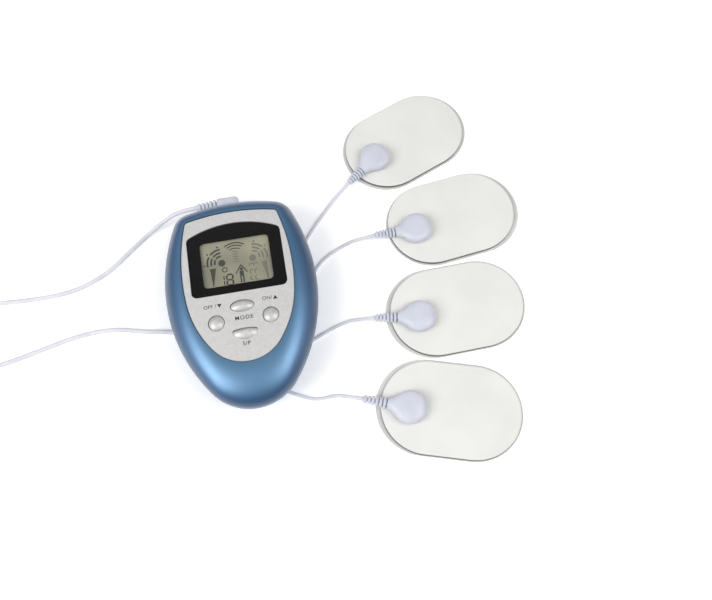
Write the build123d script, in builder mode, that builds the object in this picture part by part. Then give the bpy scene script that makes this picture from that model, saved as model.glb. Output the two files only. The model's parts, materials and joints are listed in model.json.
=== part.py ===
"""Four-pad TENS unit: control unit on its belt clip, four-way lead set and four gel pads.

Millimetres, +Z up. The origin is on the surface it lies on, under the middle of the control
unit. +Y points to the unit's output socket and +X to the pads.
"""
from build123d import *
from math import atan2, cos, degrees, radians, sin, tan
import os

# ---- driving dimensions of the casing -------------------------------------------------------
BACK_Z = 8.0  # outer face of the back, held up by the belt clip
PARTING_Z = 18.0
TOP_Z = 28.0
WALL = 1.8
TOP_WALL = 2.2
BACK_ROUND = 8.0  # bull-nose between back and side
TOP_ROUND = 9.5
TIP_Y = -59.2
# tangent arcs from the lower tip up the right side: radius, and heading where the arc ends
CASING_ARCS = [(27.2, 52.7), (91.0, 92.85), (105.0, 112.4), (11.0, 164.3)]

# ---- face plate and window ------------------------------------------------------------------
PLATE_TIP_Y = -37.3
PLATE_ARCS = [(21.5, 52.7), (55.0, 82.5), (114.6, 105.2), (2.0, 167.4)]
PLATE_T = 1.0
PLATE_TOP = TOP_Z - 0.2
PLATE_LOW = PLATE_TOP - PLATE_T
PLATE_GAP = 0.25
WINDOW_HALF = 25.0
WINDOW_SIDE_TOP = 33.6
WINDOW_PEAK = 39.8
WINDOW_CORNER = 3.0
LCD_Y = 17.6
LCD_VIEW = (36.5, 25.6)

# ---- board, display and battery bay ---------------------------------------------------------
BOARD_LOW = 22.0
BOARD_T = 1.2
BOARD_TOP = BOARD_LOW + BOARD_T
BOARD_INSET = 6.0
CELL_D = 10.5
CELL_L = 44.5
NUB = 0.8
CELL_Z = 15.2
CELL_PITCH = 10.8
BAY_HALF = 16.4
BAY_Y = (-47.2, 3.2)
BAY_ROOF = 20.7
DOOR_HALF = 18.0
DOOR_T = 1.6
DOOR_GAP = 0.15
RAIL_TOP = 11.2

# ---- buttons: outlines, places and travel ----------------------------------------------------
ROUND_BUTTON = 8.0
MODE_SIZE = (12.0, 6.0)
PAUSE_SIZE = (13.0, 5.6)
BUTTON_GAP = 0.3
BUTTON_FLANGE = 1.2
FLANGE_LOW = 24.9
FLANGE_T = 0.75
BUTTON_TOP = 28.9
TRAVEL = 0.8
ROUND_X, ROUND_Y = 14.0, -15.0
MODE_Y = -7.7
PAUSE_Y = -22.0

# ---- belt clip ------------------------------------------------------------------------------
CLIP_HALF = 13.0
CLIP_T = 2.2
CLIP_Y = (-21.0, 51.0)
PIN_Y, PIN_Z, PIN_R = 42.0, 4.9, 1.0
PIN_CLEAR = 0.05

# ---- screws ---------------------------------------------------------------------------------
CASE_SCREWS = [(x, y) for x, y in ((25.5, 35.0), (-25.5, 35.0), (24.6, -28.0), (-24.6, -28.0))]
BOARD_SCREWS = [(29.0, 2.0), (-29.0, 2.0)]
POST_R = 3.0

# ---- socket and plug ------------------------------------------------------------------------
SOCKET_Z = 12.3
POCKET_Y = 53.8  # floor of the flat seat behind the right-angle plug
POCKET_SIZE = (20.4, 7.4)
POCKET_X = -4.6
SOCKET_SIZE = (6.4, 7.8, 4.8)
SOCKET_BACK = POCKET_Y - 9.8
NECK_HOLE_R = 2.6
PLUG_Y = 59.2
PLUG_R = 3.0
PLUG_PIN_R = 1.25

# ---- cords: limp twin-core lead wire --------------------------------------------------------
MAIN_D = 2.5
LEAD_D = 1.9
COIL_CENTRE = (-163.0, 8.0)
COIL_INNER, COIL_OUTER, COIL_H = 7.0, 19.5, 5.0
COIL_RUN = 18.25  # radius of the outermost turn's centre line

# ---- pads: centre, turn, snap stud, strain-relief end, liner shift --------------------------
PAD_L, PAD_W = 75.0, 50.0
LINER_L, LINER_W, LINER_T = 77.6, 51.2, 0.2
GEL_INSET, GEL_T = 1.0, 1.0
COVER_T = 1.0
PAD_TOP = LINER_T + GEL_T + COVER_T
PADS = [
    {"at": (105.9, 89.6), "turn": 21.9, "stud": (86.1, 78.9), "tail": (67.9, 64.9), "shift": (0.2, 0.8)},
    {"at": (122.4, 34.5), "turn": 6.8, "stud": (100.7, 29.5), "tail": (76.8, 29.4), "shift": (0.6, 0.6)},
    {"at": (113.7, -19.9), "turn": 1.4, "stud": (91.9, -22.3), "tail": (67.7, -18.9), "shift": (-0.1, 0.6)},
    {"at": (98.3, -74.6), "turn": -16.8, "stud": (77.0, -70.3), "tail": (53.5, -61.5), "shift": (-0.1, 0.4)},
]
HEAD_R = 8.75
HEAD_LOW = PAD_TOP + 0.5
HEAD_TOP = 8.8
TAIL_Z = 4.9
STUD_R = 1.9

os.makedirs("parts", exist_ok=True)


def save(part, name):
    part.label = name
    export_step(part, f"parts/{name}.step")


def half_outline(tip_y, arcs):
    """Draw tangent arcs from the tip, closed by a last arc that ends level on the axis."""
    point, heading = Vector(0, tip_y), 0.0
    x = 0.0
    for radius, end in arcs:
        x += radius * (sin(radians(end)) - sin(radians(heading)))
        tangent = (cos(radians(heading)), sin(radians(heading)))
        arc = JernArc(start=point, tangent=tangent, radius=radius, arc_size=end - heading)
        point, heading = arc @ 1, end
    tangent = (cos(radians(heading)), sin(radians(heading)))
    JernArc(start=point, tangent=tangent, radius=x / sin(radians(heading)), arc_size=180 - heading)


def egg_face(tip_y, arcs, inset=0.0):
    """The egg-shaped face between the tip and the arched top, drawn in by inset."""
    with BuildSketch() as face:
        with BuildLine():
            half_outline(tip_y, arcs)
            mirror(about=Plane.YZ)
        make_face()
        if inset:
            offset(amount=-inset)
    return face.sketch


def casing_block(inset, low, high, low_round=0.0, high_round=0.0):
    """A block of the casing's outline with rounded lower and upper edges."""
    outline = egg_face(TIP_Y, CASING_ARCS, inset)
    with BuildPart() as block:
        with BuildSketch(Plane.XY.offset(low)):
            add(outline)
        extrude(amount=high - low)
        if low_round:
            fillet(block.faces().sort_by(Axis.Z)[0].edges(), low_round)
        if high_round:
            fillet(block.faces().sort_by(Axis.Z)[-1].edges(), high_round)
    return block.part


def window_face(inset=0.0):
    """Round-cornered window with an arched top."""
    half, rise = WINDOW_HALF, WINDOW_PEAK - WINDOW_SIDE_TOP
    with BuildSketch() as face:
        with BuildLine():
            Polyline((-half, WINDOW_SIDE_TOP), (-half, 0), (half, 0), (half, WINDOW_SIDE_TOP))
            ThreePointArc((half, WINDOW_SIDE_TOP), (0, WINDOW_PEAK), (-half, WINDOW_SIDE_TOP))
        make_face()
        fillet(face.vertices(), WINDOW_CORNER)
        if inset:
            offset(amount=-inset)
    return face.sketch


def round_face(diameter):
    with BuildSketch() as face:
        Circle(diameter / 2)
    return face.sketch


def mode_face(grow=0.0):
    with BuildSketch() as face:
        Ellipse(MODE_SIZE[0] / 2 + grow, MODE_SIZE[1] / 2 + grow)
    return face.sketch


def pause_face(grow=0.0):
    """Boat-shaped button: a nearly flat top edge over a full round belly."""
    half, deck, crown = PAUSE_SIZE[0] / 2, 1.2, 2.0
    with BuildSketch() as face:
        with BuildLine():
            ThreePointArc((-half, deck), (0, crown), (half, deck))
            ThreePointArc((half, deck), (0, crown - PAUSE_SIZE[1]), (-half, deck))
        make_face()
        fillet(face.vertices(), 0.9)
        if grow:
            offset(amount=grow)
    return face.sketch


def cord_tube(name, route, diameter):
    """A tube of straight runs joined by tangent arcs, each as large as its two runs allow."""
    points = [Vector(*p) for p in route]
    runs = [b - a for a, b in zip(points, points[1:])]
    radii = []
    for before, after in zip(runs, runs[1:]):
        turn = radians(before.get_angle(after))
        radii.append(0.45 * min(before.length, after.length) / tan(turn / 2))
    with BuildPart() as tube:
        with BuildLine() as path:
            FilletPolyline(*route, radius=radii)
        with BuildSketch(Plane(origin=route[0], z_dir=runs[0])):
            Circle(diameter / 2)
        sweep()
    length = path.wires()[0].length
    expected = length * 3.14159265 * diameter**2 / 4
    tight = ", ".join(f"{r:.0f}" for r in radii)
    longest = max(run.length for run in runs)
    print(f"{name}: length {length:.1f}, volume ratio {tube.part.volume / expected:.4f}")
    print(f"  radii {tight}; smallest {min(radii) / diameter:.1f} diameters, longest run {longest:.0f}")
    save(tube.part, name)


# ---- driving faces and blocks ---------------------------------------------------------------
plate_hole = egg_face(PLATE_TIP_Y, PLATE_ARCS, -PLATE_GAP)
plate_outline = egg_face(PLATE_TIP_Y, PLATE_ARCS)
window_outline = window_face()
lens_outline = window_face(0.1)


def round_button(centre):
    grown = [round_face(ROUND_BUTTON + 2 * grow) for grow in (0, BUTTON_GAP, BUTTON_FLANGE)]
    return (centre, *grown)


def shaped_button(centre, outline):
    return (centre, *[outline(grow) for grow in (0, BUTTON_GAP, BUTTON_FLANGE)])


# name: centre, outlines of the cap, of its hole and of its flange
BUTTONS = {
    "button_off_down": round_button((-ROUND_X, ROUND_Y)),
    "button_on_up": round_button((ROUND_X, ROUND_Y)),
    "button_mode": shaped_button((0, MODE_Y), mode_face),
    "button_pause": shaped_button((0, PAUSE_Y), pause_face),
}
front_outer = casing_block(0, PARTING_Z, TOP_Z, high_round=TOP_ROUND)
front_inner = casing_block(WALL, PARTING_Z, TOP_Z - TOP_WALL, high_round=TOP_ROUND - TOP_WALL)
rear_outer = casing_block(0, BACK_Z, PARTING_Z, low_round=BACK_ROUND)
rear_inner = casing_block(WALL, BACK_Z + WALL, PARTING_Z, low_round=BACK_ROUND - WALL)
door_outer = casing_block(0, BACK_Z, PARTING_Z - 0.1, low_round=BACK_ROUND)
door_inner = casing_block(DOOR_T, BACK_Z + DOOR_T, PARTING_Z, low_round=BACK_ROUND - DOOR_T)
bay_block = casing_block(WALL + 1.0, BACK_Z + WALL - 0.5, BAY_ROOF + 1.0, low_round=BACK_ROUND - WALL)

# ---- front shell ----------------------------------------------------------------------------
with BuildPart() as front_shell:
    add(front_outer)
    add(front_inner, mode=Mode.SUBTRACT)
    with BuildSketch(Plane.XY.offset(PLATE_LOW)):
        add(plate_hole)
    extrude(amount=3, mode=Mode.SUBTRACT)
    with BuildSketch(Plane.XY.offset(PARTING_Z)):
        with Locations((0, LCD_Y)):
            RectangleRounded(LCD_VIEW[0] + 1.5, LCD_VIEW[1] + 1.5, 2.5)
    extrude(amount=12, mode=Mode.SUBTRACT)
    with BuildSketch(Plane.XY.offset(PARTING_Z)):
        for centre, _, hole, _ in BUTTONS.values():
            with Locations(centre):
                add(hole)
    extrude(amount=12, mode=Mode.SUBTRACT)
    with BuildSketch(Plane.XY.offset(PARTING_Z)):
        with Locations(*CASE_SCREWS):
            Circle(POST_R)
            Circle(1.1, mode=Mode.SUBTRACT)
    extrude(amount=TOP_Z - TOP_WALL - PARTING_Z)
    with BuildSketch(Plane.XY.offset(BOARD_TOP)):
        with Locations(*BOARD_SCREWS):
            Circle(2.4)
            Circle(0.8, mode=Mode.SUBTRACT)
    extrude(amount=TOP_Z - TOP_WALL - BOARD_TOP)
save(front_shell.part, "front_shell")

# ---- face plate, window and display ---------------------------------------------------------
with BuildPart() as face_plate:
    with BuildSketch(Plane.XY.offset(PLATE_LOW)):
        add(plate_outline)
    extrude(amount=PLATE_T)
    chamfer(face_plate.faces().sort_by(Axis.Z)[-1].edges(), 0.25)
    with BuildSketch(Plane.XY.offset(PLATE_LOW)):
        add(window_outline)
        for centre, _, hole, _ in BUTTONS.values():
            with Locations(centre):
                add(hole)
    extrude(amount=PLATE_T, mode=Mode.SUBTRACT)
save(face_plate.part, "face_plate")

MASK_T = 0.15
with BuildPart() as window_mask:
    with BuildSketch(Plane.XY.offset(PLATE_LOW)):
        add(lens_outline)
        with Locations((0, LCD_Y)):
            RectangleRounded(*LCD_VIEW, 2.2, mode=Mode.SUBTRACT)
    extrude(amount=MASK_T)
save(window_mask.part, "window_mask")

with BuildPart() as window_lens:
    with BuildSketch(Plane.XY.offset(PLATE_LOW + MASK_T)):
        add(lens_outline)
    extrude(amount=PLATE_T - MASK_T)
save(window_lens.part, "window_lens")

LCD_LOW, LCD_T = BOARD_TOP + 0.7, 1.7
LCD_SIZE = (40.0, 29.0)
with BuildPart() as lcd_glass:
    with BuildSketch(Plane.XY.offset(LCD_LOW)):
        with Locations((0, LCD_Y)):
            Rectangle(*LCD_SIZE)
    extrude(amount=LCD_T)
save(lcd_glass.part, "lcd_glass")

with BuildPart() as lcd_reflector:
    with BuildSketch(Plane.XY.offset(BOARD_TOP + 0.3)):
        with Locations((0, LCD_Y)):
            Rectangle(LCD_SIZE[0] - 1, LCD_SIZE[1] - 6)
    extrude(amount=0.3)
save(lcd_reflector.part, "lcd_reflector")

with BuildPart() as zebra_strips:
    with BuildSketch(Plane.XY.offset(BOARD_TOP)):
        with Locations((0, LCD_Y)):
            with GridLocations(0, LCD_SIZE[1] - 2.4, 1, 2):
                Rectangle(LCD_SIZE[0] - 2, 1.6)
    extrude(amount=LCD_LOW - BOARD_TOP)
save(zebra_strips.part, "zebra_strips")

with BuildPart() as lcd_holder:
    with BuildSketch(Plane.XY.offset(BOARD_TOP)):
        with Locations((0, LCD_Y)):
            RectangleRounded(LCD_SIZE[0] + 4.4, LCD_SIZE[1] + 3.4, 1.5)
            Rectangle(LCD_SIZE[0] + 0.4, LCD_SIZE[1] + 0.4, mode=Mode.SUBTRACT)
    extrude(amount=2.4)
save(lcd_holder.part, "lcd_holder")

# ---- buttons and their silicone membrane ----------------------------------------------------
for button_name, (centre, cap_face, _, flange_face) in BUTTONS.items():
    with BuildPart() as button:
        with BuildSketch(Plane.XY.offset(FLANGE_LOW)):
            with Locations(centre):
                add(flange_face)
        extrude(amount=FLANGE_T)
        with BuildSketch(Plane.XY.offset(FLANGE_LOW)):
            with Locations(centre):
                add(cap_face)
        extrude(amount=BUTTON_TOP - FLANGE_LOW)
        fillet(button.faces().sort_by(Axis.Z)[-1].edges(), 0.7)
    save(button.part, button_name)

MEMBRANE_T = 0.8
with BuildPart() as keypad_membrane:
    with BuildSketch(Plane.XY.offset(BOARD_TOP)):
        with Locations((0, -14.7)):
            RectangleRounded(40, 23, 3)
    extrude(amount=MEMBRANE_T)
    with BuildSketch(Plane.XY.offset(BOARD_TOP + MEMBRANE_T)):
        for centre, _, _, _ in BUTTONS.values():
            with Locations(centre):
                Circle(2.8)
    extrude(amount=FLANGE_LOW - BOARD_TOP - MEMBRANE_T, taper=25)
save(keypad_membrane.part, "keypad_membrane")

# ---- main board and what is soldered to it --------------------------------------------------
board_outline = egg_face(TIP_Y, CASING_ARCS, BOARD_INSET)
with BuildPart() as main_board:
    with BuildSketch(Plane.XY.offset(BOARD_LOW)):
        add(board_outline)
        with Locations(*CASE_SCREWS):
            Circle(POST_R + 0.4, mode=Mode.SUBTRACT)
        with Locations(*BOARD_SCREWS):
            Circle(1.0, mode=Mode.SUBTRACT)
    extrude(amount=BOARD_T)
save(main_board.part, "main_board")

TRANSFORMERS = [(-11.0, 26.0), (11.0, 26.0)]
with BuildPart() as transformer_cores:
    with BuildSketch(Plane.XY.offset(BOARD_LOW - 7.5)):
        with Locations(*TRANSFORMERS):
            Rectangle(10, 9)
            Rectangle(7, 4.4, mode=Mode.SUBTRACT)
    extrude(amount=7)
    with BuildSketch(Plane.XY.offset(BOARD_LOW - 7.5)):
        with Locations(*TRANSFORMERS):
            Rectangle(2.4, 6)
    extrude(amount=7)
save(transformer_cores.part, "transformer_cores")

with BuildPart() as transformer_windings:
    with BuildSketch(Plane.XY.offset(BOARD_LOW - 7.3)):
        with Locations(*TRANSFORMERS):
            RectangleRounded(6.8, 4.2, 1)
            Rectangle(2.5, 6, mode=Mode.SUBTRACT)
    extrude(amount=6.6)
save(transformer_windings.part, "transformer_windings")

with BuildPart() as capacitors:
    with BuildSketch(Plane.XY.offset(BOARD_LOW)):
        with Locations((-25, 14), (25, 14), (-25, 23), (25, 23)):
            Circle(3.1)
    extrude(amount=-8)
    fillet(capacitors.faces().sort_by(Axis.Z)[0:4].edges(), 0.5)
save(capacitors.part, "capacitors")

with BuildPart() as board_chips:
    with BuildSketch(Plane.XY.offset(BOARD_LOW)):
        with Locations((0, 9.5)):
            Circle(4.5)
    extrude(amount=-1.4, taper=30)
    with BuildSketch(Plane.XY.offset(BOARD_LOW)):
        with Locations((0, 17)):
            with GridLocations(5.0, 3.0, 3, 2):
                Rectangle(2.0, 1.2)
        with Locations((-14, 40), (14, 40)):
            Rectangle(4.9, 3.9)
    extrude(amount=-0.9)
save(board_chips.part, "board_chips")

# ---- rear shell with battery bay, screw bosses, clip lugs and socket pocket -----------------
with BuildPart() as bay:
    add(bay_block)
    with BuildSketch(Plane.XY.offset(BACK_Z)):
        with Locations((0, (BAY_Y[0] + BAY_Y[1]) / 2)):
            Rectangle(41.2, BAY_Y[1] - BAY_Y[0] + 2.4)
    extrude(amount=30, mode=Mode.INTERSECT)

with BuildPart() as socket_wall:
    add(rear_outer)
    with BuildSketch(Plane.XZ.offset(-(POCKET_Y - WALL))):
        with Locations((POCKET_X, SOCKET_Z)):
            Rectangle(POCKET_SIZE[0] + 2, POCKET_SIZE[1] + 2)
    extrude(amount=-WALL, mode=Mode.INTERSECT)

LUG_X, LUG_W = 7.8, 3.2
with BuildPart() as rear_shell:
    add(rear_outer)
    add(rear_inner, mode=Mode.SUBTRACT)
    add(bay.part)
    with BuildSketch(Plane.XY.offset(BACK_Z + WALL - 0.5)):
        with Locations(*CASE_SCREWS):
            Circle(POST_R)
    extrude(amount=PARTING_Z - BACK_Z - WALL + 0.5)
    add(socket_wall.part)
    # battery cavity, door passage and rails
    with BuildSketch(Plane.XY.offset(BACK_Z)):
        with Locations((0, (BAY_Y[0] + BAY_Y[1]) / 2)):
            Rectangle(2 * BAY_HALF, BAY_Y[1] - BAY_Y[0])
    extrude(amount=BAY_ROOF - BACK_Z, mode=Mode.SUBTRACT)
    with BuildSketch(Plane.XY.offset(BACK_Z - 1)):
        with Locations((0, BAY_Y[1] - 40)):
            Rectangle(2 * (DOOR_HALF + DOOR_GAP), 80)
    extrude(amount=RAIL_TOP - BACK_Z + 1, mode=Mode.SUBTRACT)
    with BuildSketch(Plane.XY.offset(BACK_Z + WALL)):
        with Locations((0, BAY_Y[1] - 40)):
            Rectangle(2 * (DOOR_HALF + 1.4), 80)
    extrude(amount=RAIL_TOP - BACK_Z - WALL, mode=Mode.SUBTRACT)
    with BuildSketch(Plane.XY.offset(BACK_Z)):
        with Locations((0, BAY_Y[0] - 1.2 - 10)):
            Rectangle(2 * (DOOR_HALF + DOOR_GAP), 20)
    extrude(amount=PARTING_Z - BACK_Z, mode=Mode.SUBTRACT)
    # screw holes
    with BuildSketch(Plane.XY.offset(BACK_Z - 1)):
        with Locations(*CASE_SCREWS):
            Circle(2.4)
    extrude(amount=1 + WALL, mode=Mode.SUBTRACT)
    with BuildSketch(Plane.XY.offset(BACK_Z - 1)):
        with Locations(*CASE_SCREWS):
            Circle(1.3)
    extrude(amount=20, mode=Mode.SUBTRACT)
    # seat and hole for the plug, and room for the socket behind them
    with BuildSketch(Plane.XZ.offset(-POCKET_Y)):
        with Locations((POCKET_X, SOCKET_Z)):
            RectangleRounded(*POCKET_SIZE, 2)
    extrude(amount=-10, mode=Mode.SUBTRACT)
    with BuildSketch(Plane.XZ.offset(-(POCKET_Y - 6))):
        with Locations((0, SOCKET_Z)):
            Circle(NECK_HOLE_R)
    extrude(amount=-12, mode=Mode.SUBTRACT)
    with BuildSketch(Plane.XY.offset(BACK_Z + WALL)):
        with Locations((0, SOCKET_BACK + SOCKET_SIZE[1] / 2 - 0.1)):
            Rectangle(SOCKET_SIZE[0] + 0.4, SOCKET_SIZE[1] + 0.6)
    extrude(amount=6, mode=Mode.SUBTRACT)
    # clip lugs with the pin's hole
    for side in (-1, 1):
        with BuildSketch(Plane.YZ.offset(side * LUG_X - LUG_W / 2)):
            with Locations((PIN_Y, PIN_Z)):
                Circle(2.5)
            with Locations((PIN_Y, (PIN_Z + BACK_Z + 0.5) / 2)):
                Rectangle(5.0, BACK_Z + 0.5 - PIN_Z)
            with Locations((PIN_Y, PIN_Z)):
                Circle(PIN_R, mode=Mode.SUBTRACT)
        extrude(amount=LUG_W)
save(rear_shell.part, "rear_shell")

# ---- battery door ---------------------------------------------------------------------------
with BuildPart() as battery_door:
    add(door_outer)
    add(door_inner, mode=Mode.SUBTRACT)
    with BuildSketch(Plane.XY.offset(BACK_Z)):
        with Locations((0, BAY_Y[1] - DOOR_GAP - 40)):
            Rectangle(2 * DOOR_HALF, 80)
    extrude(amount=20, mode=Mode.INTERSECT)
    # above the rails only the curved end stands up to the parting line
    with BuildSketch(Plane.XY.offset(RAIL_TOP - 0.3)):
        with Locations((0, BAY_Y[0] - 1.2 - DOOR_GAP + 40)):
            Rectangle(60, 80)
    extrude(amount=20, mode=Mode.SUBTRACT)
    with BuildSketch(Plane.XY.offset(BACK_Z + WALL + 0.1)):
        with Locations((0, -18)):
            with GridLocations(2 * DOOR_HALF + 0.4, 0, 2, 1):
                Rectangle(2.0, 38)
    extrude(amount=0.9)
    with BuildSketch(Plane.XY.offset(BACK_Z)):
        with Locations((0, -8)):
            with GridLocations(0, 2.4, 1, 5):
                SlotOverall(16, 1.2)
    extrude(amount=0.5, mode=Mode.SUBTRACT)
save(battery_door.part, "battery_door")

# ---- cells, springs and contact plates ------------------------------------------------------
PLATE_METAL = 0.3
SPRING_L = BAY_Y[1] - BAY_Y[0] - 2 * PLATE_METAL - 0.1 - CELL_L
SPRING_WIRE = 0.5
CELLS = [
    {"x": -CELL_PITCH, "up": True},
    {"x": 0.0, "up": False},
    {"x": CELL_PITCH, "up": True},
]
with BuildPart() as aaa_cells:
    for cell in CELLS:
        top = BAY_Y[1] - PLATE_METAL - 0.1 if cell["up"] else BAY_Y[0] + PLATE_METAL + 0.1 + CELL_L
        low = top - CELL_L
        body_low = low if cell["up"] else low + NUB
        with BuildSketch(Plane.XZ.offset(-body_low)):
            with Locations((cell["x"], CELL_Z)):
                Circle(CELL_D / 2)
        extrude(amount=-(CELL_L - NUB))
        with BuildSketch(Plane.XZ.offset(-(top - NUB if cell["up"] else low))):
            with Locations((cell["x"], CELL_Z)):
                Circle(1.9)
        extrude(amount=-NUB)
save(aaa_cells.part, "aaa_cells")

with BuildPart() as battery_contacts:
    for y in (BAY_Y[0], BAY_Y[1] - PLATE_METAL):
        with BuildSketch(Plane.XZ.offset(-y)):
            with Locations((0, CELL_Z)):
                with GridLocations(CELL_PITCH, 0, 3, 1):
                    RectangleRounded(8.6, 8.6, 1)
        extrude(amount=-PLATE_METAL)
    for cell in CELLS:
        base = BAY_Y[0] + PLATE_METAL if cell["up"] else BAY_Y[1] - PLATE_METAL
        out = 1 if cell["up"] else -1
        turns = 5
        pitch = (SPRING_L - SPRING_WIRE) / (turns - 1)
        for turn in range(turns):
            y = base + out * (SPRING_WIRE / 2 + turn * pitch)
            ring_plane = Plane(origin=(cell["x"], y, CELL_Z), z_dir=(0, 1, 0))
            with Locations(ring_plane):
                Torus(3.6 - 0.35 * turn, SPRING_WIRE / 2)
save(battery_contacts.part, "battery_contacts")

# ---- screws ---------------------------------------------------------------------------------
with BuildPart() as case_screws:
    with BuildSketch(Plane.XY.offset(BACK_Z + 0.3)):
        with Locations(*CASE_SCREWS):
            Circle(2.1)
    extrude(amount=WALL - 0.3)
    with BuildSketch(Plane.XY.offset(BACK_Z + WALL)):
        with Locations(*CASE_SCREWS):
            Circle(1.1)
    extrude(amount=14)
    with BuildSketch(Plane.XY.offset(BACK_Z + 0.3)):
        with Locations(*CASE_SCREWS):
            Rectangle(2.4, 0.6)
            Rectangle(0.6, 2.4)
    extrude(amount=0.8, mode=Mode.SUBTRACT)
save(case_screws.part, "case_screws")

with BuildPart() as board_screws:
    with BuildSketch(Plane.XY.offset(BOARD_LOW - 1.2)):
        with Locations(*BOARD_SCREWS):
            Circle(1.7)
    extrude(amount=1.2)
    with BuildSketch(Plane.XY.offset(BOARD_LOW)):
        with Locations(*BOARD_SCREWS):
            Circle(0.8)
    extrude(amount=3.4)
save(board_screws.part, "board_screws")

# ---- output socket --------------------------------------------------------------------------
with BuildPart() as output_socket:
    with BuildSketch(Plane.XZ.offset(-SOCKET_BACK)):
        with Locations((0, SOCKET_Z)):
            Rectangle(SOCKET_SIZE[0], SOCKET_SIZE[2])
            Circle(PLUG_PIN_R + 0.1, mode=Mode.SUBTRACT)
    extrude(amount=-SOCKET_SIZE[1])
save(output_socket.part, "output_socket")

with BuildPart() as socket_contacts:
    with BuildSketch(Plane.XY.offset(SOCKET_Z + 2.4)):
        with Locations((-2, SOCKET_BACK + 1.2), (2, SOCKET_BACK + 1.2), (0, SOCKET_BACK + 5.2)):
            Rectangle(0.9, 0.4)
    extrude(amount=BOARD_LOW - SOCKET_Z - 2.4)
save(socket_contacts.part, "socket_contacts")

# ---- belt clip, its pin and its spring ------------------------------------------------------
KNUCKLE_X, KNUCKLE_W = 11.3, 3.4
with BuildPart() as belt_clip:
    with BuildSketch():
        with Locations((0, (CLIP_Y[0] + CLIP_Y[1]) / 2)):
            RectangleRounded(2 * CLIP_HALF, CLIP_Y[1] - CLIP_Y[0], 6)
    extrude(amount=CLIP_T)
    with BuildSketch(Plane.YZ.offset(-9)):
        with BuildLine():
            Polyline(
                (CLIP_Y[0] + 0.8, CLIP_T - 0.5),
                (CLIP_Y[0] + 1.8, BACK_Z - 1.2),
                (CLIP_Y[0] + 2.6, BACK_Z - 0.3),
                (CLIP_Y[0] + 3.6, BACK_Z - 0.3),
                (CLIP_Y[0] + 4.2, BACK_Z - 1.2),
                (CLIP_Y[0] + 5.4, CLIP_T - 0.5),
                close=True,
            )
        make_face()
    extrude(amount=18)
    for side in (-1, 1):
        with BuildSketch(Plane.YZ.offset(side * KNUCKLE_X - KNUCKLE_W / 2)):
            with Locations((PIN_Y, PIN_Z)):
                Circle(2.6)
            with Locations((PIN_Y, (PIN_Z + CLIP_T - 0.5) / 2)):
                Rectangle(5.2, PIN_Z - CLIP_T + 0.5)
            with Locations((PIN_Y, PIN_Z)):
                Circle(PIN_R + PIN_CLEAR, mode=Mode.SUBTRACT)
        extrude(amount=KNUCKLE_W)
save(belt_clip.part, "belt_clip")

with BuildPart() as clip_pin:
    with BuildSketch(Plane.YZ.offset(-CLIP_HALF + 0.2)):
        with Locations((PIN_Y, PIN_Z)):
            Circle(PIN_R)
    extrude(amount=2 * CLIP_HALF - 0.4)
save(clip_pin.part, "clip_pin")

COIL_TURNS, COIL_WIRE = 7, 0.7
with BuildPart() as clip_spring:
    for turn in range(COIL_TURNS):
        x = (turn - (COIL_TURNS - 1) / 2) * (COIL_WIRE + 0.35)
        with Locations(Plane(origin=(x, PIN_Y, PIN_Z), z_dir=(1, 0, 0))):
            Torus(PIN_R + 0.15 + COIL_WIRE / 2, COIL_WIRE / 2)
    with BuildSketch(Plane.XZ.offset(-(PIN_Y - 12))):
        with Locations((3.15, CLIP_T + COIL_WIRE / 2 + 0.05)):
            Circle(COIL_WIRE / 2)
    extrude(amount=-12)
    with BuildSketch(Plane.XZ.offset(-(PIN_Y - 9))):
        with Locations((-3.15, BACK_Z - COIL_WIRE / 2 - 0.05)):
            Circle(COIL_WIRE / 2)
    extrude(amount=-9)
save(clip_spring.part, "clip_spring")

# ---- plug -----------------------------------------------------------------------------------
PLUG_X = (4.2, -8.0, -19.8)  # right end, start of the ridges, end of the strain relief
NECK_END = POCKET_Y - 1.5
PIN_END = SOCKET_BACK + 0.3
with BuildPart() as plug_housing:
    with BuildSketch(Plane(origin=(PLUG_X[0], PLUG_Y, SOCKET_Z), z_dir=(-1, 0, 0))):
        Circle(PLUG_R)
    extrude(amount=PLUG_X[0] - PLUG_X[1])
    fillet(plug_housing.faces().sort_by(Axis.X)[-1].edges(), 1.4)
    fillet(plug_housing.faces().sort_by(Axis.X)[0].edges(), 0.6)
    with BuildSketch(Plane(origin=(PLUG_X[1] + 0.1, PLUG_Y, SOCKET_Z), z_dir=(-1, 0, 0))):
        Circle(1.75)
    with BuildSketch(Plane(origin=(PLUG_X[2], PLUG_Y, SOCKET_Z), z_dir=(-1, 0, 0))):
        Circle(1.55)
    loft()
    for ridge in range(4):
        with BuildSketch(Plane(origin=(PLUG_X[1] - 1.2 - 2.4 * ridge, PLUG_Y, SOCKET_Z), z_dir=(-1, 0, 0))):
            Circle(2.5 - 0.15 * ridge)
        extrude(amount=1.3)
    with BuildSketch(Plane.XZ.offset(-(PLUG_Y - 2))):
        with Locations((0, SOCKET_Z)):
            Circle(2.3)
    extrude(amount=PLUG_Y - 2 - NECK_END)
    with BuildSketch(Plane.XZ.offset(-(PLUG_Y - 1))):
        with Locations((0, SOCKET_Z)):
            Circle(PLUG_PIN_R)
    extrude(amount=10, mode=Mode.SUBTRACT)
save(plug_housing.part, "plug_housing")

with BuildPart() as plug_pin:
    with BuildSketch(Plane.XZ.offset(-(PLUG_Y - 1))):
        with Locations((0, SOCKET_Z)):
            Circle(PLUG_PIN_R)
    extrude(amount=PLUG_Y - 1 - PIN_END)
    chamfer(plug_pin.faces().sort_by(Axis.Y)[0].edges(), 0.6)
save(plug_pin.part, "plug_pin")

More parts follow.
